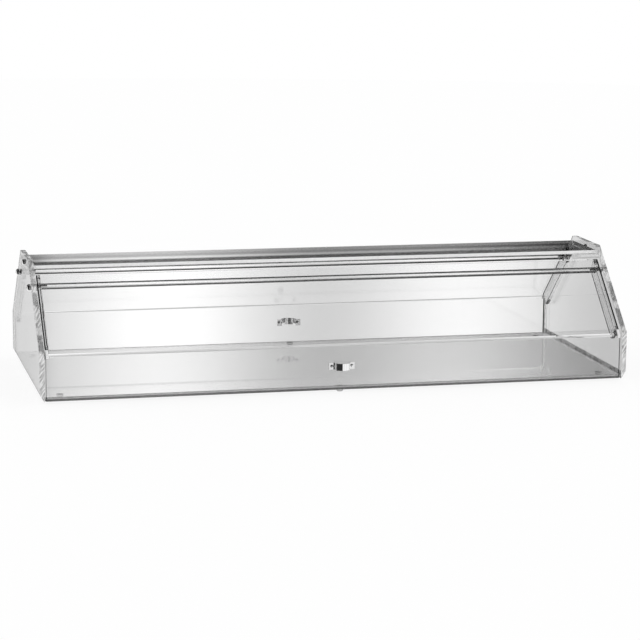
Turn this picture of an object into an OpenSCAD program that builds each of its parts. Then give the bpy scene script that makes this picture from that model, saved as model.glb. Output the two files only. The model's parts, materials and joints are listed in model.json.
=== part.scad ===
// Counter display case in clear sheet, with a lift-up flap on each long side.
// X runs along the length, Y from front to back, Z up. The origin is under the middle of the
// case, on the surface that its feet stand on.

/* [Case] */
// Length over the two side panels
case_l = 1200; // [600:10:1500]
// Depth of the side panels, front to back
case_d = 480; // [440:5:620]
// Height of a side panel
side_h = 251; // [235:2:320]
// Height of a side panel's upright edge, below the slope
bend_h = 95; // [75:1:115]
// How far the slope runs back, at the front and at the rear
slope_run = 170; // [150:1:190]
// Thickness of a side panel
side_t = 10; // [8:0.5:14]
// Radius on the corners of a side panel's outline
side_corner_r = 3; // [1:0.5:6]
// Height of the bevel along a side panel's lower outer edge
bevel_h = 15; // [6:0.5:20]
// How far that bevel reaches in
bevel_w = 9; // [3:0.5:9.5]

/* [Base] */
// Thickness of the base plate
base_t = 8; // [6:0.5:15]
// Diameter of a foot
foot_d = 14; // [10:0.5:20]
// Height of a foot
foot_h = 5; // [4:0.5:8]
// How far the corner feet stand in from the side panels and from the flaps
foot_inset = 34; // [28:1:60]

/* [Top panel] */
// Thickness of the top panel
top_t = 8; // [6:0.5:12]
// How far its upper face lies below the tops of the side panels
top_drop = 10; // [6:0.5:14]
// Radius on its long edges
top_edge_r = 1.5; // [0.5:0.25:2.5]
// Diameter of the screws that hold its ends
top_screw_d = 4; // [3:0.5:5]
// Length of those screws in the panel
top_screw_grip = 22; // [14:1:40]
// Diameter of their heads
top_head_d = 12; // [7:0.5:13]
// Height of their heads
top_head_h = 5; // [2.5:0.25:6]

/* [Flaps] */
// Thickness of a flap's sheet
flap_t = 5; // [4:0.25:6]
// How far the sloping part lies below the side panels' edges
slope_recess = 5; // [3:0.25:8]
// How far the upright part lies behind the side panels' edges
face_recess = 3; // [1:0.25:5]
// Outer radius of the bend
bend_r = 8; // [7:0.5:20]
// Gap between a flap's end and a side panel
end_gap = 3; // [2:0.25:6]
// How far a flap's lower edge stays above the foot of the base plate
lower_edge = 0.6; // [0.4:0.1:2]
// Gap between a closed flap and the base plate that it rests on
rest_gap = 0.3; // [0.2:0.05:0.5]

/* [Hinges] */
// Distance of the hinge axis from the top corner of the side panel, along the slope
hinge_down = 54; // [50:1:64]
// Distance of the hinge axis from the side panel's sloping edge
hinge_deep = 18; // [17:0.5:22]
// Diameter of the hinge rod
rod_d = 12; // [10:0.5:14]
// Radius of an arm's head round the hinge axis
arm_r = 22; // [18:0.5:26]
// Thickness of an arm
arm_t = 8; // [5:0.25:10]
// Radius on the arm's lower corner
arm_corner_r = 6; // [2:1:22]
// Distance of the arm's lower end from the bend
arm_end = 10; // [2:1:30]
// Diameter of the pivot screws
pivot_d = 5; // [4:0.5:6]
// Length of a pivot screw in the rod
pivot_grip = 20; // [12:1:40]
// Diameter of a pivot screw's head
pivot_head_d = 14; // [11:0.5:18]
// Height of a pivot screw's head
pivot_head_h = 7; // [4:0.25:8]
// Diameter of the spacer washer beside the arm
washer_d = 13; // [11:0.5:16]

/* [Handles] */
// Width of a handle over its tabs
handle_w = 52; // [46:1:80]
// Height of the handle's strap
strap_h = 14; // [10:0.5:20]
// Thickness of the strap
strap_t = 2; // [1.5:0.25:3]
// Width of a tab
tab_w = 11; // [10:0.5:14]
// Length of the straight legs of the bow
bow_leg = 2; // [1:0.5:12]
// Height of the handle's middle above the side panels' lower edges
handle_up = 49; // [38:1:58]
// Diameter of the handle screws
handle_screw_d = 3; // [2.5:0.25:4]
// Diameter of their heads and of the cap nuts behind the flap
handle_head_d = 6; // [5:0.25:7]
// Height of their heads
handle_head_h = 2.2; // [1.5:0.1:3]
// Height of a cap nut
nut_h = 5; // [4:0.25:7]

/* [Fits] */
// Radial clearance of a screw in the hole that it turns or sits in
hole_gap = 0.08; // [0.04:0.01:0.1]
// Gap beside parts that turn past each other
side_gap = 0.3; // [0.2:0.05:0.5]

/* [Hidden] */

clear_tone = [0.86, 0.92, 0.94, 0.45];
arm_tone = [0.78, 0.86, 0.9, 0.6];
chrome_tone = "silver";
foot_tone = "whitesmoke";

// Overrun of a cut past the face that it opens
over = 1;
corner_steps = 6;
head_steps = 10;

// Shares of a screw head: its upright rim, its socket and how far its shank reaches into it
rim_share = 0.3;
socket_share = 0.36;
socket_deep_share = 0.5;
shank_share = 0.25;
// Shares of a cap nut: its six-sided part, its round part, the depth of its thread and how much
// of its height the screw fills
hex_share = 0.5;
dome_share = 0.8;
thread_deep_share = 0.7;
thread_fill_share = 0.6;
// Shares of a foot: the radius of its sole, the radius and height of its lower taper and the
// height where it reaches its full width
sole_share = 0.34;
taper_share = 0.44;
taper_up_share = 0.22;
full_up_share = 0.7;
// How far the middle feet stand in from the base plate's edge, as a share of their diameter
middle_in_share = 0.6;
// Radius on a side panel's lower corners, as a share of that on the others
low_corner_share = 0.33;
$fn = 64;

// Levels and places that follow from the sizes above
panel_z = foot_h;
half_l = case_l / 2;
half_d = case_d / 2;
inner_x = half_l - side_t;
flap_x = inner_x - end_gap;
top_face_z = panel_z + side_h - top_drop;
top_front_y = slope_run - half_d;
slope_a = atan2(side_h - bend_h, slope_run);
base_half_d = half_d - face_recess - flap_t - rest_gap;

// The hinge axis of the front flap, as [y, z]
hinge_y = top_front_y - hinge_down * cos(slope_a) + hinge_deep * sin(slope_a);
hinge_z = panel_z + side_h - hinge_down * sin(slope_a) - hinge_deep * cos(slope_a);

// Seen from the hinge axis, with the first coordinate up the slope and the second out of it:
// the two faces of the sloping part, its top edge and the corner that its bend rounds
leaf_out = hinge_deep - slope_recess;
leaf_in = leaf_out - flap_t;
leaf_top = sqrt(arm_r * arm_r - leaf_in * leaf_in);
face_y = face_recess - half_d;
corner_z = panel_z + bend_h + (face_recess * sin(slope_a) - slope_recess) / cos(slope_a);
corner_s = (face_y - hinge_y) * cos(slope_a) + (corner_z - hinge_z) * sin(slope_a);
bend_turn = 90 - slope_a;
bend_reach = bend_r * tan(bend_turn / 2);
bend_y = face_y + bend_r;
bend_z = corner_z - bend_reach;
lower_z = foot_h + lower_edge;

handle_z = panel_z + handle_up;
tab_x = (handle_w - tab_w) / 2;
bow_r = handle_w / 2 - tab_w + strap_t;

// Corner i of an outline, rounded: points on the arc that touches both of its sides
function rounded_corner(pts, i, r) =
    let (n = len(pts), p = pts[i], a = pts[(i + n - 1) % n] - p, b = pts[(i + 1) % n] - p,
        ua = a / norm(a), ub = b / norm(b), half = acos(ua * ub) / 2,
        mid = (ua + ub) / norm(ua + ub), centre = p + mid * r / sin(half),
        first = p + ua * r / tan(half) - centre, last = p + ub * r / tan(half) - centre,
        turn = acos(first * last / (r * r)), side = sign(first[0] * last[1] - first[1] * last[0]))
    r == 0 ? [p] : [for (k = [0 : corner_steps])
        let (t = side * turn * k / corner_steps)
        centre + [first[0] * cos(t) - first[1] * sin(t), first[0] * sin(t) + first[1] * cos(t)]];

// An outline with the radius radii[i] on its corner i
function rounded(pts, radii) = [for (i = [0 : len(pts) - 1]) each rounded_corner(pts, i, radii[i])];

// Stands a [y, z] outline up and extrudes it along X from x0 to x1
module along_x(x0, x1) {
    translate([x0, 0, 0])
        rotate([90, 0, 90])
            linear_extrude(x1 - x0)
                children();
}

// A cylinder along X from x0 to x1
module bar_x(d, x0, x1) {
    translate([x0, 0, 0])
        rotate([0, 90, 0])
            cylinder(d = d, h = x1 - x0);
}

// Children at both ends of the case, the left one turned round
module at_both_ends() {
    children();
    mirror([1, 0, 0])
        children();
}

module at_rear() {
    rotate([0, 0, 180])
        children();
}

module at_hinge() {
    translate([0, hinge_y, hinge_z])
        children();
}

// From the hinge axis, with Y up the slope and Z out of it
module on_slope() {
    at_hinge()
        rotate([slope_a, 0, 0])
            children();
}

// A domed screw head from the origin along +X, with a six-sided socket
module dome_head(d, h) {
    rise = h * rim_share;
    difference() {
        rotate([0, 90, 0])
            rotate_extrude()
                polygon(concat(
                    [[0, 0], [d / 2, 0], [d / 2, rise]],
                    [for (k = [1 : head_steps - 1])
                        let (t = 90 * k / head_steps)
                        [d / 2 * cos(t), rise + (h - rise) * sin(t)]],
                    [[0, h]]));
        translate([h * (1 - socket_deep_share), 0, 0])
            rotate([0, 90, 0])
                cylinder(d = d * socket_share, h = h, $fn = 6);
    }
}

// The outline of a side panel, as [y, z], with its slopes at the front and at the rear
module side_outline() {
    low_z = panel_z;
    mid_z = panel_z + bend_h;
    high_z = panel_z + side_h;
    polygon(rounded(
        [[-half_d, low_z], [half_d, low_z], [half_d, mid_z],
            [-top_front_y, high_z], [top_front_y, high_z], [-half_d, mid_z]],
        [for (i = [0 : 5]) i < 2 ? side_corner_r * low_corner_share : side_corner_r]));
}

module right_side() {
    difference() {
        along_x(inner_x, half_l)
            side_outline();
        translate([0, half_d + over, 0])
            rotate([90, 0, 0])
                linear_extrude(case_d + 2 * over)
                    polygon([[half_l - bevel_w, panel_z], [half_l, panel_z + bevel_h],
                        [half_l + over, panel_z + bevel_h], [half_l + over, panel_z - over],
                        [half_l - bevel_w, panel_z - over]]);
        for (flip = [0, 1])
            mirror([0, flip, 0])
                at_hinge()
                    bar_x(pivot_d + 2 * hole_gap, inner_x - over, half_l + over);
        translate([0, 0, top_face_z - top_t / 2])
            bar_x(top_screw_d + 2 * hole_gap, inner_x - over, half_l + over);
    }
}

module left_side_panel() {
    color(clear_tone)
        mirror([1, 0, 0])
            right_side();
}

module right_side_panel() {
    color(clear_tone)
        right_side();
}

// A flat plate between the side panels
module base_plate() {
    color(clear_tone)
        translate([-inner_x, -base_half_d, foot_h])
            cube([2 * inner_x, 2 * base_half_d, base_t]);
}

module top_panel() {
    color(clear_tone)
        difference() {
            along_x(-inner_x, inner_x)
                polygon(rounded(
                    [[top_front_y, top_face_z - top_t], [-top_front_y, top_face_z - top_t],
                        [-top_front_y, top_face_z], [top_front_y, top_face_z]],
                    [for (i = [0 : 3]) top_edge_r]));
            translate([0, 0, top_face_z - top_t / 2])
                at_both_ends()
                    bar_x(top_screw_d + 2 * hole_gap, inner_x - top_screw_grip - side_gap,
                        inner_x + over);
        }
}

module top_panel_screws() {
    color(chrome_tone)
        translate([0, 0, top_face_z - top_t / 2])
            at_both_ends() {
                bar_x(top_screw_d, inner_x - top_screw_grip, half_l + top_head_h * shank_share);
                translate([half_l, 0, 0])
                    dome_head(top_head_d, top_head_h);
            }
}

// A flap's sheet: an upright strip, a bend and a sloping strip
module flap_outline() {
    translate([face_y, lower_z])
        square([flap_t, bend_z - lower_z]);
    translate([hinge_y, hinge_z])
        rotate(slope_a)
            translate([corner_s + bend_reach, leaf_in])
                square([leaf_top - corner_s - bend_reach, flap_t]);
    translate([bend_y, bend_z])
        intersection() {
            difference() {
                circle(bend_r);
                circle(bend_r - flap_t);
            }
            polygon([[0, 0], [-2 * bend_r, 0], [-2 * bend_r, 2 * bend_r * tan(bend_turn / 2)],
                [-2 * bend_r * cos(bend_turn), 2 * bend_r * sin(bend_turn)]]);
        }
}

module flap() {
    difference() {
        along_x(-flap_x, flap_x)
            flap_outline();
        handle_holes(face_y - over, face_y + flap_t + over);
    }
}

// The two screw holes of a handle, drilled along Y from y0 to y1
module handle_holes(y0, y1) {
    for (x = [-tab_x, tab_x])
        translate([x, y1, handle_z])
            rotate([90, 0, 0])
                cylinder(d = handle_screw_d + 2 * hole_gap, h = y1 - y0);
}

// A stiffening arm under the end of the sloping strip, with a round head about the hinge axis
module arm() {
    low_s = corner_s + bend_reach + arm_end;
    difference() {
        on_slope()
            along_x(flap_x - arm_t, flap_x) {
                polygon(rounded(
                    [[low_s, leaf_in], [low_s, -arm_r], [0, -arm_r], [0, leaf_in]],
                    [0, arm_corner_r, 0, 0]));
                intersection() {
                    circle(arm_r);
                    translate([0, -2 * arm_r])
                        square([2 * arm_r, 2 * arm_r + leaf_in]);
                }
            }
        at_hinge()
            bar_x(rod_d + 2 * hole_gap, flap_x - arm_t - over, flap_x + over);
    }
}

// A round rod through both arms, bored at its ends for the pivot screws
module hinge_rod() {
    at_hinge()
        difference() {
            bar_x(rod_d, -flap_x, flap_x);
            at_both_ends()
                bar_x(pivot_d + 2 * hole_gap, flap_x - pivot_grip - side_gap, flap_x + over);
        }
}

module pivot_screws() {
    at_hinge()
        at_both_ends() {
            bar_x(pivot_d, flap_x - pivot_grip, half_l + side_gap + pivot_head_h * shank_share);
            translate([half_l + side_gap, 0, 0])
                dome_head(pivot_head_d, pivot_head_h);
        }
}

module spacer_washers() {
    at_hinge()
        at_both_ends()
            difference() {
                bar_x(washer_d, flap_x, inner_x - side_gap);
                bar_x(pivot_d + 2 * hole_gap, flap_x - over, inner_x + over);
            }
}

// A strap with a flat tab at each end and a bow between them
module handle() {
    difference() {
        translate([0, face_y, handle_z - strap_h / 2])
            linear_extrude(strap_h) {
                for (side = [-1, 1]) {
                    translate([side * tab_x - tab_w / 2, -strap_t])
                        square([tab_w, strap_t]);
                    translate([side * (bow_r - strap_t / 2) - strap_t / 2, -bow_leg])
                        square([strap_t, bow_leg]);
                }
                translate([0, -bow_leg])
                    difference() {
                        circle(bow_r);
                        circle(bow_r - strap_t);
                        translate([-2 * bow_r, 0])
                            square([4 * bow_r, 2 * bow_r]);
                    }
            }
        handle_holes(face_y - strap_t - over, face_y + over);
    }
}

module handle_screws() {
    for (x = [-tab_x, tab_x])
        translate([x, face_y - strap_t, handle_z])
            rotate([0, 0, -90]) {
                dome_head(handle_head_d, handle_head_h);
                bar_x(handle_screw_d, -strap_t - flap_t - nut_h * thread_fill_share,
                    handle_head_h * shank_share);
            }
}

module handle_nuts() {
    for (x = [-tab_x, tab_x])
        translate([x, face_y + flap_t, handle_z])
            rotate([0, 0, 90])
                difference() {
                    union() {
                        rotate([0, 90, 0])
                            cylinder(d = handle_head_d, h = nut_h * hex_share, $fn = 6);
                        bar_x(handle_head_d * dome_share, 0, nut_h);
                    }
                    bar_x(handle_screw_d + 2 * hole_gap, -over, nut_h * thread_deep_share);
                }
}

// A soft stud that tapers to its flat sole
module foot(x, y) {
    color(foot_tone)
        translate([x, y, 0])
            rotate_extrude()
                polygon([[0, 0], [foot_d * sole_share, 0],
                    [foot_d * taper_share, foot_h * taper_up_share],
                    [foot_d / 2, foot_h * full_up_share], [foot_d / 2, foot_h], [0, foot_h]]);
}

foot_x = inner_x - foot_inset;
foot_y = base_half_d - foot_inset;
middle_foot_y = base_half_d - foot_d * middle_in_share;

module front_flap() {
    color(clear_tone)
        flap();
}

module front_left_arm() {
    color(arm_tone)
        mirror([1, 0, 0])
            arm();
}

module front_right_arm() {
    color(arm_tone)
        arm();
}

module front_hinge_rod() {
    color(arm_tone)
        hinge_rod();
}

module front_pivot_screws() {
    color(chrome_tone)
        pivot_screws();
}

module front_spacer_washers() {
    color(arm_tone)
        spacer_washers();
}

module front_handle() {
    color(chrome_tone)
        handle();
}

module front_handle_screws() {
    color(chrome_tone)
        handle_screws();
}

module front_handle_nuts() {
    color(chrome_tone)
        handle_nuts();
}

module rear_flap() {
    color(clear_tone)
        at_rear()
            flap();
}

module rear_left_arm() {
    color(arm_tone)
        at_rear()
            arm();
}

module rear_right_arm() {
    color(arm_tone)
        at_rear()
            mirror([1, 0, 0])
                arm();
}

module rear_hinge_rod() {
    color(arm_tone)
        at_rear()
            hinge_rod();
}

module rear_pivot_screws() {
    color(chrome_tone)
        at_rear()
            pivot_screws();
}

module rear_spacer_washers() {
    color(arm_tone)
        at_rear()
            spacer_washers();
}

module rear_handle() {
    color(chrome_tone)
        at_rear()
            handle();
}

module rear_handle_screws() {
    color(chrome_tone)
        at_rear()
            handle_screws();
}

module rear_handle_nuts() {
    color(chrome_tone)
        at_rear()
            handle_nuts();
}

base_plate();
left_side_panel();
right_side_panel();
top_panel();
top_panel_screws();
front_flap();
front_left_arm();
front_right_arm();
front_hinge_rod();
front_pivot_screws();
front_spacer_washers();
front_handle();
front_handle_screws();
front_handle_nuts();
rear_flap();
rear_left_arm();
rear_right_arm();
rear_hinge_rod();
rear_pivot_screws();
rear_spacer_washers();
rear_handle();
rear_handle_screws();
rear_handle_nuts();
foot(-foot_x, -foot_y);  // front_left_foot
foot(0, -middle_foot_y);  // front_middle_foot
foot(foot_x, -foot_y);  // front_right_foot
foot(-foot_x, foot_y);  // rear_left_foot
foot(0, middle_foot_y);  // rear_middle_foot
foot(foot_x, foot_y);  // rear_right_foot
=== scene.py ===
# Clear pastry display case: two bent flaps, sloped side panels, a flat top and a base plate
import json
import math
import bpy
import numpy as np
from mathutils import Matrix, Vector

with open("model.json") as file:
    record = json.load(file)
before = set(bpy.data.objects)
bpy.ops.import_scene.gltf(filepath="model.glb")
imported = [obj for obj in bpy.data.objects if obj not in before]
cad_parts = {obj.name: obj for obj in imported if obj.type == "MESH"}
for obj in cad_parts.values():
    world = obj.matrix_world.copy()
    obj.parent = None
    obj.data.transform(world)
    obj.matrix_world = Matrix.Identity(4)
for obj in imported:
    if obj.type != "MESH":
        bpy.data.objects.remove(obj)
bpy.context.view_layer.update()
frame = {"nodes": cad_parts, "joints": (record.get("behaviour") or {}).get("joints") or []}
nodes = frame["nodes"]
print("frame loaded:", len(nodes), "nodes")


# Least and greatest distance of a CAD piece from the origin, along one axis, in metres
def cadSpan(name, axis):
    mesh = nodes[name].data
    places = np.empty(len(mesh.vertices) * 3)
    mesh.vertices.foreach_get("co", places)
    distances = np.abs(places.reshape(-1, 3)[:, axis])
    return float(distances.min()), float(distances.max())


# Small helpers for shader trees: a new node, a link, a calculation, a colour ramp and a grey
def addNode(tree, kind, **values):
    made = tree.nodes.new(kind)
    for key, value in values.items():
        setattr(made, key, value)
    return made


def feed(tree, source, target):
    tree.links.new(source, target)


def calc(tree, operation, *values):
    made = addNode(tree, "ShaderNodeMath", operation=operation)
    for socket, value in zip(made.inputs, values):
        if isinstance(value, (int, float)):
            socket.default_value = value
        else:
            feed(tree, value, socket)
    return made.outputs[0]


def grey(tone):
    return (tone, tone, tone, 1)


def rampOf(tree, value, stops):
    made = addNode(tree, "ShaderNodeValToRGB")
    ramp = made.color_ramp
    first, last = ramp.elements
    first.position, first.color = stops[0][0], grey(stops[0][1])
    last.position, last.color = stops[-1][0], grey(stops[-1][1])
    for place, tone in stops[1:-1]:
        ramp.elements.new(place).color = grey(tone)
    feed(tree, value, made.inputs[0])
    return made.outputs[0]


# Patterns on polished sheet, in metres: fine dust, streaks of the saw on narrow faces,
# smears of a cloth and a slow waviness. A span is where a pattern starts and is full.
sheetPatterns = {
    "dust": {"scale": 900, "detail": 2, "span": (0.62, 0.78)},
    "streaks": {"scale": 1, "detail": 3, "stretch": (0.003, 0.03, 0.02), "lean": (0, 0.6, 0),
                "span": (0.38, 0.62)},
    "smears": {"scale": 1, "detail": 5, "stretch": (0.3, 0.025, 0.025), "span": (0.5, 0.75)},
    "waves": {"scale": 5, "detail": 3, "height": 0.001},
}
sheetInputs = (
    ("Position", "NodeSocketVector", None), ("Edge", "NodeSocketFloat", 0),
    ("Clean", "NodeSocketColor", (1, 1, 1, 1)), ("Dusty", "NodeSocketColor", (0.9, 0.91, 0.92, 1)),
    ("Edge Light", "NodeSocketColor", (1, 1, 1, 1)), ("Edge Dark", "NodeSocketColor", (0.5, 0.5, 0.5, 1)),
    ("Haze", "NodeSocketFloat", 0.02), ("Smear", "NodeSocketFloat", 0.03),
    ("Edge Haze", "NodeSocketFloat", 0.2), ("Bump", "NodeSocketFloat", 0.02),
    ("Pale Least", "NodeSocketFloat", 0), ("Pale Most", "NodeSocketFloat", 0),
)
sheetOutputs = (("Colour", "NodeSocketColor"), ("Roughness", "NodeSocketFloat"),
                ("Normal", "NodeSocketVector"), ("Pale", "NodeSocketFloat"))


# The patterns as one group. Edge is a mask of the sawn and polished narrow faces, which have their own
# tone and haze; that tone is painted shade on the base, flaps and arms. Pale is how much of such a face is
# matt.
def makeSheetGroup():
    group = bpy.data.node_groups.new("wipedSheetPaintedEdges", "ShaderNodeTree")
    for name, kind, value in sheetInputs:
        socket = group.interface.new_socket(name, in_out="INPUT", socket_type=kind)
        if value is not None:
            socket.default_value = value
    for name, kind in sheetOutputs:
        group.interface.new_socket(name, in_out="OUTPUT", socket_type=kind)
    given = addNode(group, "NodeGroupInput").outputs
    result = addNode(group, "NodeGroupOutput").inputs

    def noise(pattern):
        made = addNode(group, "ShaderNodeTexNoise")
        made.inputs["Scale"].default_value = pattern["scale"]
        made.inputs["Detail"].default_value = pattern["detail"]
        place = given["Position"]
        if "stretch" in pattern:
            spread = addNode(group, "ShaderNodeMapping", vector_type="TEXTURE")
            spread.inputs["Scale"].default_value = pattern["stretch"]
            spread.inputs["Rotation"].default_value = pattern.get("lean", (0, 0, 0))
            feed(group, place, spread.inputs["Vector"])
            place = spread.outputs[0]
        feed(group, place, made.inputs["Vector"])
        return made.outputs["Fac"]

    def maskOf(pattern):
        made = addNode(group, "ShaderNodeMapRange")
        made.inputs["From Min"].default_value, made.inputs["From Max"].default_value = pattern["span"]
        feed(group, noise(pattern), made.inputs["Value"])
        return made.outputs[0]

    def blendOf(factor, first, second):
        made = addNode(group, "ShaderNodeMix", data_type="RGBA")
        feed(group, factor, made.inputs["Factor"])
        feed(group, first, made.inputs[6])
        feed(group, second, made.inputs[7])
        return made.outputs[2]

    edge = given["Edge"]
    streaks = maskOf(sheetPatterns["streaks"])
    faceTone = blendOf(maskOf(sheetPatterns["dust"]), given["Clean"], given["Dusty"])
    # Narrow-face tone: painted shade on the base, flaps and arms
    edgeTone = blendOf(streaks, given["Edge Light"], given["Edge Dark"])
    feed(group, blendOf(edge, faceTone, edgeTone), result["Colour"])
    smear = calc(group, "MULTIPLY_ADD", maskOf(sheetPatterns["smears"]), given["Smear"], given["Haze"])
    edgeHaze = calc(group, "MULTIPLY", edge, given["Edge Haze"])
    feed(group, calc(group, "MAXIMUM", smear, edgeHaze), result["Roughness"])
    paleRange = calc(group, "SUBTRACT", given["Pale Most"], given["Pale Least"])
    pale = calc(group, "MULTIPLY_ADD", calc(group, "SUBTRACT", 1, streaks), paleRange, given["Pale Least"])
    feed(group, calc(group, "MULTIPLY", pale, edge), result["Pale"])
    bump = addNode(group, "ShaderNodeBump")
    bump.inputs["Distance"].default_value = sheetPatterns["waves"]["height"]
    feed(group, given["Bump"], bump.inputs["Strength"])
    feed(group, noise(sheetPatterns["waves"]), bump.inputs["Height"])
    feed(group, bump.outputs[0], result["Normal"])
    return group


sheetGroup = makeSheetGroup()


# The group in one material, with the values of one piece's look
toneInputs = {"Clean": "clean", "Dusty": "dusty", "Edge Light": "edgeLight", "Edge Dark": "edgeDark"}
plainInputs = {"Haze": "haze", "Smear": "smear", "Edge Haze": "edgeHaze", "Bump": "bump"}


def placeGroup(tree, look):
    coords = addNode(tree, "ShaderNodeTexCoord").outputs
    group = addNode(tree, "ShaderNodeGroup", node_tree=sheetGroup)
    for name, key in toneInputs.items():
        group.inputs[name].default_value = grey(look[key])
    for name, key in plainInputs.items():
        group.inputs[name].default_value = look[key]
    group.inputs["Pale Least"].default_value, group.inputs["Pale Most"].default_value = look["pale"]
    feed(tree, coords["Object"], group.inputs["Position"])
    return coords["Object"], coords["Normal"], group


clearSheet = {"index": 1.49, "shadow": 0.94}  # refractive index, and the light left in its shadow


# Clear sheet or rod: refracts, and lets light through to the floor for shadow rays.
# Edges masks its narrow faces, which are partly matt in a painted tone: painted shade on the sides, base,
# flaps and arms and painted white on the top; the second mask marks those of them that get a painted
# highlight instead.
def clearMaterial(name, look, edges=None, paintedLight=None):
    mat = bpy.data.materials.new(name)
    mat.use_nodes = True
    tree = mat.node_tree
    tree.nodes.clear()
    out = addNode(tree, "ShaderNodeOutputMaterial")
    body = addNode(tree, "ShaderNodeBsdfPrincipled")
    body.inputs["Transmission Weight"].default_value = 1
    body.inputs["IOR"].default_value = clearSheet["index"]
    place, normal, group = placeGroup(tree, look)
    if edges:
        feed(tree, edges(tree, place, normal), group.inputs["Edge"])
    colour = group.outputs["Colour"]
    if "limb" in look:
        colour = limbShade(tree, colour, look["limb"])
    feed(tree, colour, body.inputs["Base Color"])
    feed(tree, group.outputs["Roughness"], body.inputs["Roughness"])
    feed(tree, group.outputs["Normal"], body.inputs["Normal"])
    shader = body.outputs[0]
    if edges:
        matt = addNode(tree, "ShaderNodeBsdfDiffuse")
        # Matt share: a painted tone, turned to the painted highlight tone where the second mask is 1
        tone = addNode(tree, "ShaderNodeMix", data_type="RGBA")
        tone.inputs[6].default_value = grey(look["matt"])
        tone.inputs[7].default_value = grey(look["mattPaintedLight"])
        if paintedLight:
            feed(tree, paintedLight(tree, place, normal), tone.inputs["Factor"])
        feed(tree, tone.outputs[2], matt.inputs[0])
        shader = mixShaders(tree, group.outputs["Pale"], shader, matt.outputs[0])
    passes = addNode(tree, "ShaderNodeBsdfTransparent")
    passes.inputs[0].default_value = grey(clearSheet["shadow"])
    path = addNode(tree, "ShaderNodeLightPath")
    shader = mixShaders(tree, path.outputs["Is Shadow Ray"], shader, passes.outputs[0])
    feed(tree, shader, out.inputs["Surface"])
    return mat


def mixShaders(tree, factor, first, second):
    made = addNode(tree, "ShaderNodeMixShader")
    feed(tree, factor, made.inputs[0])
    feed(tree, first, made.inputs[1])
    feed(tree, second, made.inputs[2])
    return made.outputs[0]


# A piece with a limb gets painted shade, darker where its surface turns away from the eye
def limbShade(tree, colour, stops):
    facing = addNode(tree, "ShaderNodeLayerWeight")
    facing.inputs["Blend"].default_value = 0.5
    shade = rampOf(tree, facing.outputs["Facing"], [(0, 1), *stops, (1, stops[-1][1])])
    made = addNode(tree, "ShaderNodeMix", data_type="RGBA", blend_type="MULTIPLY")
    made.inputs["Factor"].default_value = 1
    feed(tree, colour, made.inputs[6])
    feed(tree, shade, made.inputs[7])
    return made.outputs[2]


# For the masks below: a vector's three parts, and 1 where a value, taken without its sign, lies
# less than half away from middle
def splitOf(tree, vector):
    made = addNode(tree, "ShaderNodeSeparateXYZ")
    feed(tree, vector, made.inputs[0])
    return made.outputs


def near(tree, value, middle, half):
    away = calc(tree, "SUBTRACT", calc(tree, "ABSOLUTE", value), middle)
    return calc(tree, "LESS_THAN", calc(tree, "ABSOLUTE", away), half)


# In each look, clean and dusty are the tones of a face, edgeLight and edgeDark those of a narrow
# face, painted shade on the base, flaps and arms; haze, smear and edgeHaze are roughness and bump is
# waviness;
# pale is the least and most share of matt on a narrow face, and matt and the matt highlight tone its tones, a
# painted shade (painted white on the top) and a painted highlight; limb is the painted shade from straight on
# to the outline.
# A face is narrow where its normal leans less than narrowBelow towards the sheet's thickness.

# Side panels: streaked narrow faces, their matt share a painted shade, with a painted highlight where
# upright, in patches and on the foot's bevel
sideLook = {
    "clean": 0.97, "dusty": 0.93, "edgeLight": 1, "edgeDark": 0.7,
    "haze": 0, "smear": 0.02, "edgeHaze": 0.15, "bump": 0.01,
    "pale": (0.3, 0.9), "matt": 0.3, "mattPaintedLight": 0.86, "narrowBelow": 0.5, "uprightWithin": 0.2,
    "patchScale": 35, "patchDetail": 3, "patches": [(0, 0), (0.47, 0), (0.56, 0.8), (1, 0.8)],
    "bevelLean": 0.857, "bevelWithin": 0.06, "bevelHeight": 0.0155, "bevelPaintedLight": 0.9,
}
bevelTop = cadSpan("left_side_panel", 2)[0] + sideLook["bevelHeight"]


def sideEdges(tree, place, normal):
    narrow = near(tree, splitOf(tree, normal)[0], 0, sideLook["narrowBelow"])
    return calc(tree, "MAXIMUM", narrow, footBevel(tree, place, normal))


def footBevel(tree, place, normal):
    sloping = near(tree, splitOf(tree, normal)[0], sideLook["bevelLean"], sideLook["bevelWithin"])
    low = calc(tree, "LESS_THAN", splitOf(tree, place)[2], bevelTop)
    return calc(tree, "MULTIPLY", sloping, low)


# Painted highlight on the side panels' matt narrow faces: where upright, in noise patches and on the foot's
# bevel
def sidePaintedLight(tree, place, normal):
    patches = addNode(tree, "ShaderNodeTexNoise")
    patches.inputs["Scale"].default_value = sideLook["patchScale"]
    patches.inputs["Detail"].default_value = sideLook["patchDetail"]
    feed(tree, place, patches.inputs["Vector"])
    spots = rampOf(tree, patches.outputs["Fac"], sideLook["patches"])
    bevel = calc(tree, "MULTIPLY", footBevel(tree, place, normal), sideLook["bevelPaintedLight"])
    upright = near(tree, splitOf(tree, normal)[1], 1, sideLook["uprightWithin"])
    return calc(tree, "MAXIMUM", upright, calc(tree, "MAXIMUM", spots, bevel))


# Base plate: narrow faces painted dark as shade, with a painted highlight amid its ends and along the upper
# half of its long edges
baseLook = {
    "clean": 0.9, "dusty": 0.87, "edgeLight": 0.5, "edgeDark": 0.3,
    "haze": 0, "smear": 0.02, "edgeHaze": 0.1, "bump": 0.01,
    "pale": (0.7, 0.8), "matt": 0.18, "mattPaintedLight": 0.95, "narrowBelow": 0.9,
    "endWithin": 0.5, "endStripe": 0.0056, "upperFrom": 0.0002,
}
baseMiddle = sum(cadSpan("base_plate", 2)) / 2


def baseEdges(tree, place, normal):
    return near(tree, splitOf(tree, normal)[2], 0, baseLook["narrowBelow"])


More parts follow.
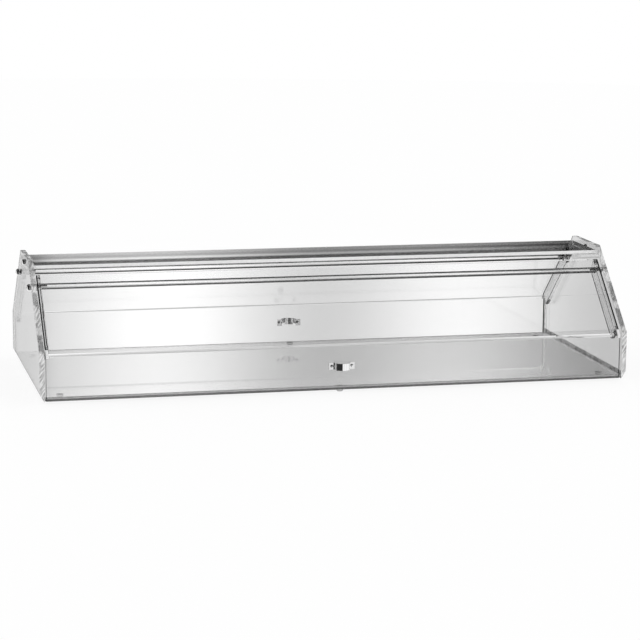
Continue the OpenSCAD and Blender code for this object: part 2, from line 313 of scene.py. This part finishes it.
# Painted highlight: a stripe amid the ends and the upper half of the long edges
def basePaintedLight(tree, place, normal):
    height = splitOf(tree, place)[2]
    endwise = splitOf(tree, normal)[0]
    stripe = near(tree, height, baseMiddle, baseLook["endStripe"] / 2)
    upper = calc(tree, "GREATER_THAN", height, baseMiddle + baseLook["upperFrom"])
    onEnds = calc(tree, "MULTIPLY", stripe, near(tree, endwise, 1, baseLook["endWithin"]))
    onSides = calc(tree, "MULTIPLY", upper, near(tree, endwise, 0, baseLook["endWithin"]))
    return calc(tree, "MAXIMUM", onEnds, onSides)


# Top panel: narrow faces painted white as light, and painted shade where seen at a low angle
topLook = {
    "clean": 0.96, "dusty": 0.93, "edgeLight": 1, "edgeDark": 0.9,
    "haze": 0, "smear": 0.01, "edgeHaze": 0.1, "bump": 0.002,
    "pale": (0.9, 0.97), "matt": 0.97, "mattPaintedLight": 0.97, "narrowBelow": 0.5, "limb": [(0.81, 1), (0.84, 0.1)],
}


def topEdges(tree, place, normal):
    return near(tree, splitOf(tree, normal)[2], 0, topLook["narrowBelow"])


# Flaps: ends painted black as shade, with a rim which is wider on the slope and at the rear, and a painted
# highlight at the bend
flapLook = {
    "clean": 0.97, "dusty": 0.93, "edgeLight": 0.05, "edgeDark": 0.02,
    "haze": 0, "smear": 0.02, "edgeHaze": 0.05, "bump": 0.01,
    "pale": (0.85, 0.95), "matt": 0.02, "mattPaintedLight": 0.86,
    "rim": 0.0004, "wideRim": 0.0019, "wideFrom": 0.105,
    "bendHeight": 0.097, "bendReach": 0.008, "bendDepth": 0.0055,
}
flapEnd = cadSpan("front_flap", 0)[1]


def flapEdges(tree, place, normal):
    across, depth, height = splitOf(tree, place)
    behind = calc(tree, "GREATER_THAN", depth, 0)
    wide = calc(tree, "MAXIMUM", calc(tree, "GREATER_THAN", height, flapLook["wideFrom"]), behind)
    widening = calc(tree, "MULTIPLY", wide, flapLook["wideRim"] - flapLook["rim"])
    rim = calc(tree, "SUBTRACT", flapEnd - flapLook["rim"], widening)
    ends = calc(tree, "GREATER_THAN", calc(tree, "ABSOLUTE", across), rim)
    return calc(tree, "MAXIMUM", ends, flapPaintedLight(tree, place, normal))


# Painted highlight at the bend near the flap's ends
def flapPaintedLight(tree, place, normal):
    parts = splitOf(tree, place)
    atBend = near(tree, parts[2], flapLook["bendHeight"], flapLook["bendReach"])
    atEnd = near(tree, parts[0], flapEnd, flapLook["bendDepth"])
    return calc(tree, "MULTIPLY", atBend, atEnd)


# Arms: a rim painted dark as shade along one edge of the inner side, away from the flap in front, at the flap
# behind
armLook = {
    "clean": 0.84, "dusty": 0.8, "edgeLight": 0.05, "edgeDark": 0.02,
    "haze": 0, "smear": 0.02, "edgeHaze": 0, "bump": 0.01,
    "pale": (0.85, 0.95), "matt": 0.02, "mattPaintedLight": 0.02,
    "frontRim": -0.0175, "rearRim": 0.0035, "rimDepth": 0.001, "slopeRise": 0.156, "slopeRun": 0.170,
}
armInner = cadSpan("front_left_arm", 0)[0]
hingeOut, hingeUp = (abs(place) for place in frame["joints"][0]["pos_m"][1:])


# The distance outwards from the hinge axis, square to the slope: up cos(turn) + out sin(turn)
def fromHinge(tree, depth, height):
    turn = math.atan2(armLook["slopeRise"], armLook["slopeRun"])
    out = calc(tree, "SUBTRACT", calc(tree, "ABSOLUTE", depth), hingeOut)
    up = calc(tree, "SUBTRACT", height, hingeUp)
    raised = calc(tree, "MULTIPLY", up, math.cos(turn))
    return calc(tree, "ADD", raised, calc(tree, "MULTIPLY", out, math.sin(turn)))


def armEdges(tree, place, normal):
    across, depth, height = splitOf(tree, place)
    square = fromHinge(tree, depth, height)
    front = calc(tree, "LESS_THAN", depth, 0)
    behind = calc(tree, "SUBTRACT", 1, front)
    frontRim = calc(tree, "MULTIPLY", front, calc(tree, "LESS_THAN", square, armLook["frontRim"]))
    rearRim = calc(tree, "MULTIPLY", behind, calc(tree, "GREATER_THAN", square, armLook["rearRim"]))
    inside = near(tree, across, armInner, armLook["rimDepth"])
    return calc(tree, "MULTIPLY", calc(tree, "MAXIMUM", frontRim, rearRim), inside)


# Rods, washers and feet: the rods and feet get painted shade towards their outlines
rodLook = {
    "clean": 0.97, "dusty": 0.93, "edgeLight": 1, "edgeDark": 0.8, "pale": (0, 0),
    "haze": 0, "smear": 0.02, "edgeHaze": 0.05, "bump": 0, "limb": [(0.1, 1), (0.17, 0.03)],
}
washerLook = {
    "clean": 0.9, "dusty": 0.8, "edgeLight": 1, "edgeDark": 0.8, "pale": (0, 0),
    "haze": 0.3, "smear": 0.1, "edgeHaze": 0.3, "bump": 0.05,
}
footLook = {
    "clean": 0.85, "dusty": 0.7, "edgeLight": 1, "edgeDark": 0.8, "pale": (0, 0),
    "haze": 0.3, "smear": 0.1, "edgeHaze": 0.3, "bump": 0.05, "limb": [(0.3, 1), (0.7, 0.3)],
}

# Handles, screws and cap nuts: bright chrome with fingermarks
chromeLook = {
    "clean": 0.92, "dusty": 0.8, "edgeLight": 1, "edgeDark": 1, "pale": (0, 0),
    "haze": 0.03, "smear": 0.05, "edgeHaze": 0, "bump": 0.02,
}


def chromeMaterial(name, look):
    mat = bpy.data.materials.new(name)
    mat.use_nodes = True
    tree = mat.node_tree
    body = tree.nodes["Principled BSDF"]
    body.inputs["Metallic"].default_value = 1
    group = placeGroup(tree, look)[2]
    feed(tree, group.outputs["Colour"], body.inputs["Base Color"])
    feed(tree, group.outputs["Roughness"], body.inputs["Roughness"])
    feed(tree, group.outputs["Normal"], body.inputs["Normal"])
    return mat


# Each piece's material goes by a word in its name
def dressNodes():
    chrome = chromeMaterial("brightChrome", chromeLook)
    clear = {
        "washers": clearMaterial("clearWasher", washerLook),
        "foot": clearMaterial("clearFoot", footLook),
        "rod": clearMaterial("clearRod", rodLook),
        "arm": clearMaterial("clearArm", armLook, armEdges),
        "side_panel": clearMaterial("clearSide", sideLook, sideEdges, sidePaintedLight),
        "base": clearMaterial("clearBase", baseLook, baseEdges, basePaintedLight),
        "top_panel": clearMaterial("clearTop", topLook, topEdges),
        "flap": clearMaterial("clearFlap", flapLook, flapEdges, flapPaintedLight),
    }
    for name, obj in nodes.items():
        if any(word in name for word in ("screws", "nuts", "handle")):
            mat = chrome
        else:
            mat = next(made for word, made in clear.items() if word in name)
        for slot in obj.material_slots:
            slot.material = mat


dressNodes()
print("materials placed")

# Polished sheet has broken edges: a narrow rounded bevel along every sharp edge, widths in metres
edgeBreaks = {"arm": 0.0018, "side_panel": 0.0012, "base_plate": 0.0012, "top_panel": 0.0008, "flap": 0.0015}
edgeFinish = {"merge": 0.00001, "flat": 0.5, "sharp": 35, "segments": 3}  # metres, degrees


def breakEdges():
    for name, obj in nodes.items():
        word = next((word for word in edgeBreaks if name.endswith(word)), None)
        if word is None:
            continue
        merge = obj.modifiers.new("merge", "WELD")
        merge.merge_threshold = edgeFinish["merge"]
        flat = obj.modifiers.new("flatFaces", "DECIMATE")
        flat.decimate_type = "DISSOLVE"
        flat.angle_limit = math.radians(edgeFinish["flat"])
        bevel = obj.modifiers.new("brokenEdge", "BEVEL")
        bevel.width = edgeBreaks[word]
        bevel.segments = edgeFinish["segments"]
        bevel.limit_method = "ANGLE"
        bevel.angle_limit = math.radians(edgeFinish["sharp"])
        bevel.use_clamp_overlap = word != "arm"
        bevel.miter_outer = "MITER_ARC"


breakEdges()
print("edges broken")

# Floor: white to the eye, with the case's soft shadow. Light that glass or metal bends goes past it
# to the world, which is as white there.
floorLook = {"radius": 8.0, "corners": 64, "paper": 0.95, "evenWhite": 0.85}


# A flat round: radius times the cosine and sine of evenly spaced turns
def makeFloor():
    corners = floorLook["corners"]
    turn = np.linspace(0, 2 * math.pi, corners, endpoint=False)
    ring = np.stack([np.cos(turn), np.sin(turn), np.zeros(corners)], axis=1) * floorLook["radius"]
    mesh = bpy.data.meshes.new("floor")
    mesh.from_pydata(ring.tolist(), [], [list(range(corners))])
    mesh.materials.append(floorMaterial())
    floor = bpy.data.objects.new("floor", mesh)
    bpy.context.scene.collection.objects.link(floor)
    floor.visible_glossy = False
    floor.visible_transmission = False


def floorMaterial():
    mat = bpy.data.materials.new("paleFloor")
    mat.use_nodes = True
    tree = mat.node_tree
    tree.nodes.clear()
    out = addNode(tree, "ShaderNodeOutputMaterial")
    paper = addNode(tree, "ShaderNodeBsdfDiffuse")
    paper.inputs[0].default_value = grey(floorLook["paper"])
    white = addNode(tree, "ShaderNodeEmission")
    path = addNode(tree, "ShaderNodeLightPath")
    share = calc(tree, "MULTIPLY", path.outputs["Is Camera Ray"], floorLook["evenWhite"])
    feed(tree, mixShaders(tree, share, paper.outputs[0], white.outputs[0]), out.inputs["Surface"])
    return mat


makeFloor()

# The world is even white to the eye and for the light on plain surfaces. For reflections and
# refraction it is a white studio whose walls carry soft upright folds, tone by direction:
#   tone = middle + level * (fold * cos(foldRate (a - foldAt)) + slow * cos(slowRate (a - slowAt)))
# with a the angle round Z and level falling to 0 towards straight up and down.
# Above the horizon this is dimmed by rise, z / |y| with |y| at least leastDepth, where long bars
# parallel to the case lie, and aloft from the front towards the sides. Reflections see a dark
# corner of the room to the front left. In the lists below the second value of each pair is the
# share of light there, at a rise or an angle in radians.
worldLook = {
    "middle": 0.95, "fold": 0.22, "foldRate": 47, "foldAt": 0.172,
    "slow": 0.08, "slowRate": 12, "slowAt": 0.12,
    "steepFrom": 0.5, "steepRate": 3, "ahead": [(0.112, 0.86), (0.122, 1)],
    "leastDepth": 0.8, "horizon": -0.02, "horizonRate": 20, "brightest": 2,
    "heights": [(0.0, 0.8), (0.06, 0.75), (0.3, 0.7), (0.36, 0.15), (0.5, 0.05), (0.8, 0.05), (1.0, 0.3)],
    "bars": [(0.15, 1.0), (0.1545, 1.9), (0.1555, 1.1), (0.1562, 1.2), (0.157, 1.3), (0.1575, 2),
             (0.158, 1.9), (0.1583, 0.1), (0.1593, 0.03), (0.1597, 0.6), (0.165, 0.7), (0.185, 1), (0.23, 1)],
    "aloft": [(0.0, 0.3), (0.107, 0.3), (0.12, 1), (0.25, 0.55), (0.36, 0.05), (0.45, 0.1), (0.7, 0.6),
              (1.57, 1)],
    "room": [(-1.7, 1), (-1.5, 0.03), (-0.1, 0.03), (0.0, 1)],
}


def waveOf(tree, angle, start, rate):
    return calc(tree, "COSINE", calc(tree, "MULTIPLY", calc(tree, "SUBTRACT", angle, start), rate))


# The walls' folds, and a darker strip straight ahead
def wallTone(tree, angle, z):
    past = calc(tree, "SUBTRACT", calc(tree, "ABSOLUTE", z), worldLook["steepFrom"])
    steep = calc(tree, "MULTIPLY", past, worldLook["steepRate"])
    steep.node.use_clamp = True
    level = calc(tree, "SUBTRACT", 1, steep)
    folds = waveOf(tree, angle, worldLook["foldAt"], worldLook["foldRate"])
    slow = waveOf(tree, angle, worldLook["slowAt"], worldLook["slowRate"])
    slow = calc(tree, "MULTIPLY", slow, worldLook["slow"])
    swing = calc(tree, "MULTIPLY_ADD", folds, worldLook["fold"], slow)
    tone = calc(tree, "MULTIPLY_ADD", swing, level, worldLook["middle"])
    ahead = calc(tree, "SUBTRACT", rampOf(tree, angle, worldLook["ahead"]), 1)
    return calc(tree, "MULTIPLY", tone, calc(tree, "MULTIPLY_ADD", ahead, level, 1))


# The share of light above the horizon: 1 below it, bars and the dimming by height above
def skyShare(tree, angle, y, z):
    depth = calc(tree, "MAXIMUM", calc(tree, "ABSOLUTE", y), worldLook["leastDepth"])
    rise = calc(tree, "DIVIDE", z, depth)
    least, most = worldLook["bars"][0][0], worldLook["bars"][-1][0]
    fine = calc(tree, "DIVIDE", calc(tree, "SUBTRACT", rise, least), most - least)
    brightest = worldLook["brightest"]
    stops = [((at - least) / (most - least), share / brightest) for at, share in worldLook["bars"]]
    bars = calc(tree, "MULTIPLY", rampOf(tree, fine, stops), brightest)
    sky = calc(tree, "MULTIPLY", rampOf(tree, rise, worldLook["heights"]), bars)
    quarter = math.pi / 2
    stops = [(at / quarter, share) for at, share in worldLook["aloft"]]
    aloft = rampOf(tree, calc(tree, "DIVIDE", angle, quarter), stops)
    above = calc(tree, "MULTIPLY", calc(tree, "SUBTRACT", z, worldLook["horizon"]), worldLook["horizonRate"])
    above.node.use_clamp = True
    made = addNode(tree, "ShaderNodeMix", data_type="FLOAT")
    feed(tree, above, made.inputs[0])
    made.inputs[2].default_value = 1
    feed(tree, calc(tree, "MULTIPLY", aloft, sky), made.inputs[3])
    return made.outputs[0]


# The room as a mirror sees it: a share of light by the full turn round Z from the front
def roomShare(tree, x, y):
    turned = calc(tree, "ARCTAN2", x, calc(tree, "MULTIPLY", y, -1))
    perTurn = 0.5 / math.pi
    stops = [(at * perTurn + 0.5, share) for at, share in worldLook["room"]]
    return rampOf(tree, calc(tree, "MULTIPLY_ADD", turned, perTurn, 0.5), stops)


def makeWorld():
    world = bpy.data.worlds.new("studio")
    bpy.context.scene.world = world
    world.use_nodes = True
    tree = world.node_tree
    tree.nodes.clear()
    out = addNode(tree, "ShaderNodeOutputWorld")
    x, y, z = splitOf(tree, addNode(tree, "ShaderNodeTexCoord").outputs["Generated"])
    angle = calc(tree, "ARCTAN2", calc(tree, "ABSOLUTE", x), calc(tree, "ABSOLUTE", y))
    tone = calc(tree, "MULTIPLY", wallTone(tree, angle, z), skyShare(tree, angle, y, z))
    rays = addNode(tree, "ShaderNodeLightPath").outputs
    straight = calc(tree, "LESS_THAN", rays["Glossy Depth"], 0.5)  # no mirror on the way
    direct = calc(tree, "MULTIPLY", rays["Is Transmission Ray"], straight)
    value = addNode(tree, "ShaderNodeMix", data_type="FLOAT")
    feed(tree, direct, value.inputs[0])
    feed(tree, calc(tree, "MULTIPLY", tone, roomShare(tree, x, y)), value.inputs[2])
    feed(tree, tone, value.inputs[3])
    bent = addNode(tree, "ShaderNodeBackground")
    feed(tree, value.outputs[0], bent.inputs[0])
    plain = addNode(tree, "ShaderNodeBackground")
    plain.inputs[0].default_value = grey(1)
    either = calc(tree, "MAXIMUM", rays["Is Glossy Ray"], rays["Is Transmission Ray"])
    feed(tree, mixShaders(tree, either, plain.outputs[0], bent.outputs[0]), out.inputs["Surface"])


makeWorld()
print("stage built")

# Camera: long lens, a little above the case and to its left; place in metres, angles in radians
cameraView = {
    "place": (-1.09072, -4.50546, 0.95378),
    "yaw": 0.24021,
    "pitch": 0.18142,
    "roll": 0.0099,
    "lens": 127.331,
    "sensor": 36,
}


def makeCamera():
    yaw, pitch, roll = cameraView["yaw"], cameraView["pitch"], cameraView["roll"]
    right = Vector((math.cos(yaw), -math.sin(yaw), 0))
    ahead = Vector((math.sin(yaw) * math.cos(pitch), math.cos(yaw) * math.cos(pitch), -math.sin(pitch)))
    up = right.cross(ahead)
    side = right * math.cos(roll) + up * math.sin(roll)
    top = up * math.cos(roll) - right * math.sin(roll)
    data = bpy.data.cameras.new("view")
    data.lens = cameraView["lens"]
    data.sensor_width = cameraView["sensor"]
    camera = bpy.data.objects.new("view", data)
    turn = Matrix((side, top, -ahead)).transposed().to_4x4()
    camera.matrix_world = Matrix.Translation(cameraView["place"]) @ turn
    bpy.context.scene.collection.objects.link(camera)
    bpy.context.scene.camera = camera


# Enough bounces for light to cross every sheet of the case
def setPaths():
    scene = bpy.context.scene
    scene.view_settings.view_transform = "Standard"
    scene.cycles.max_bounces = 32
    scene.cycles.transmission_bounces = 32
    scene.cycles.glossy_bounces = 12
    scene.cycles.transparent_max_bounces = 32


makeCamera()
setPaths()
print("camera placed")
